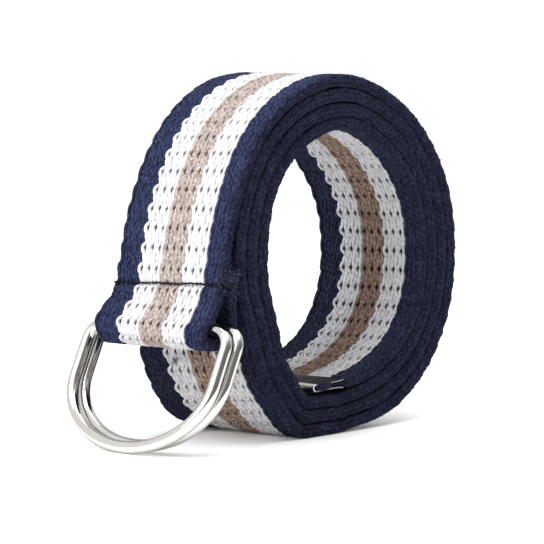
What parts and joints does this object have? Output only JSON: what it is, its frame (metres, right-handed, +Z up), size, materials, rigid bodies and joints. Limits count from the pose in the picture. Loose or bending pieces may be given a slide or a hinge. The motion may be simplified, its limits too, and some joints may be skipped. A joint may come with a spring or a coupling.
{
  "type": "canvas belt",
  "caption": "Rolled belt of striped cotton webbing, its outer end folded round D-rings and sewn, its inner end in a crimped metal tip.",
  "frame": {"origin": "middle of the underside of the box round the rolled belt, on the surface that it stands on", "axes": "+Z up, Y along the coil's axis, D-rings at -X, the strip's raw tail and folded seam on the -X side"},
  "size_m": [0.1206, 0.0532, 0.1],
  "materials": {
    "webbing": "coarse cotton weave, navy edges with white and tan stripes",
    "ring_metal": "polished nickel plate",
    "tip_metal": "nickel-plated sheet, slightly dull"
  },
  "bodies": {
    "belt": {"webbing": "webbing", "metal_tip": "tip_metal"},
    "ring_front": {"d_ring_front": "ring_metal"},
    "ring_back": {"d_ring_back": "ring_metal"}
  },
  "joints": [
    {"name": "ring_front_swing", "type": "hinge", "parent": "belt", "child": "ring_front", "pos_m": [-0.04462, 0, 0.0315], "axis": [0, 1, 0], "range_deg": [0, 150]},
    {"name": "ring_back_swing", "type": "hinge", "parent": "belt", "child": "ring_back", "pos_m": [-0.04032, 0, 0.0315], "axis": [0, 1, 0], "range_deg": [-45, 0]}
  ]
}
